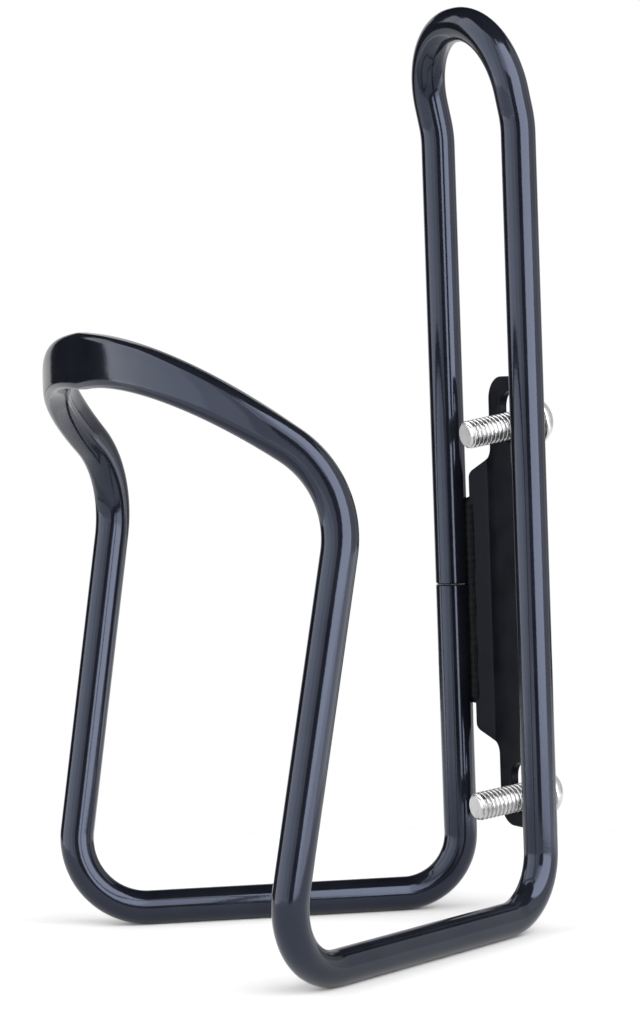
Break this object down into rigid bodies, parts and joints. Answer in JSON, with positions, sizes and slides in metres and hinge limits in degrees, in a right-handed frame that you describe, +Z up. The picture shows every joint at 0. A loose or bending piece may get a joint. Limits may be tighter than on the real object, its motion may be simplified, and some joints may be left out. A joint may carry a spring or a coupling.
{
  "type": "water bottle cage",
  "caption": "Bicycle water bottle cage bent from one round rod, with a flattened strap band, a welded slotted bracket and loose mounting bolts.",
  "frame": {"origin": "on the rear face of the mounting bracket, midway between the centres of its two slots", "axes": "+Z up along the rear legs, +Y towards the bicycle frame (out of the bracket's rear face), +X to the right seen from the front"},
  "size_m": [0.0878, 0.0889, 0.1553],
  "materials": {
    "gloss_black_rod": "gloss black coating on aluminium rod",
    "satin_black_plate": "satin black coating on aluminium plate",
    "black_weld": "satin black coating over the weld bead",
    "stainless_steel": "bright stainless steel"
  },
  "bodies": {
    "cage": {"wire_loop": "gloss_black_rod", "mounting_bracket": "satin_black_plate", "weld_left": "black_weld", "weld_right": "black_weld"},
    "upper_bolt": {"upper_bolt": "stainless_steel"},
    "lower_bolt": {"lower_bolt": "stainless_steel"}
  },
  "joints": [
    {"name": "upper_bolt_slide", "type": "slide", "parent": "cage", "child": "upper_bolt", "axis": [0, -0.9903, -0.1392], "range_m": [-0.01, 0.00298]},
    {"name": "lower_bolt_slide", "type": "slide", "parent": "cage", "child": "lower_bolt", "axis": [0, -0.9956, -0.0941], "range_m": [-0.0104, 0.0028]}
  ]
}
